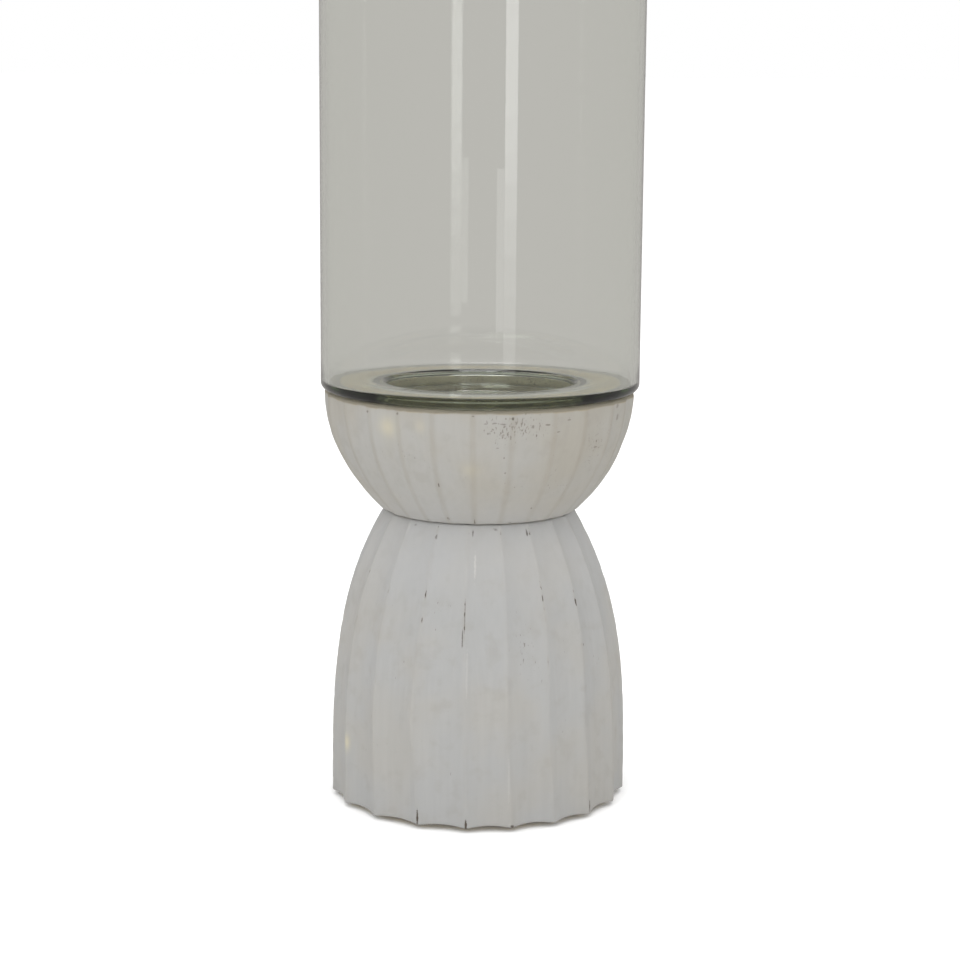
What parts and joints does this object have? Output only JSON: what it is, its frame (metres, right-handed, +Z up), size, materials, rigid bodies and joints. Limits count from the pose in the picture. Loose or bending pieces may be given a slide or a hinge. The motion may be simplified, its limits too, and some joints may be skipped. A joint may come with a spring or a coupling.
{
  "type": "hurricane candle lantern",
  "caption": "Hurricane candle lantern: a tall round glass cylinder with a closed floor lifts off a fluted, whitewashed wooden pedestal and bowl.",
  "frame": {"origin": "on the lantern's axis, on the surface that its four foot pads stand on", "axes": "+Z up along the lantern's axis; -Y is the front, where the middle of one flute of each wooden piece faces; the two locating dowels lie along X"},
  "size_m": [0.15, 0.15, 0.45],
  "materials": {
    "pedestal_wood": "matt whitewash, rubbed back to dark wood along the flute edges",
    "bowl_wood": "matt whitewash over open-pored wood",
    "glass": "clear, faintly grey, with a deep green look through the thick floor edge",
    "cork": "fine-grained pressed cork",
    "steel": "zinc plated",
    "brass": "turned",
    "beech": "unfinished",
    "rubber": "matt"
  },
  "bodies": {
    "foot": {"wood_pedestal": "pedestal_wood", "wood_bowl": "bowl_wood", "clamp_bolt": "steel", "flat_washer": "steel", "spring_washer": "steel", "insert_nut": "brass", "locating_dowel_1": "beech", "locating_dowel_2": "beech", "foot_pad_1": "rubber", "foot_pad_2": "rubber", "foot_pad_3": "rubber", "foot_pad_4": "rubber"},
    "seat": {"seat_cork": "cork"},
    "hurricane": {"glass_hurricane": "glass"}
  },
  "joints": [
    {"name": "glass_turn", "type": "hinge", "parent": "foot", "child": "seat", "pos_m": [0, 0, 0.186], "axis": [0, 0, 1], "continuous": true},
    {"name": "glass_lift", "type": "slide", "parent": "seat", "child": "hurricane", "axis": [0, 0, 1], "range_m": [0, 0.06]}
  ]
}
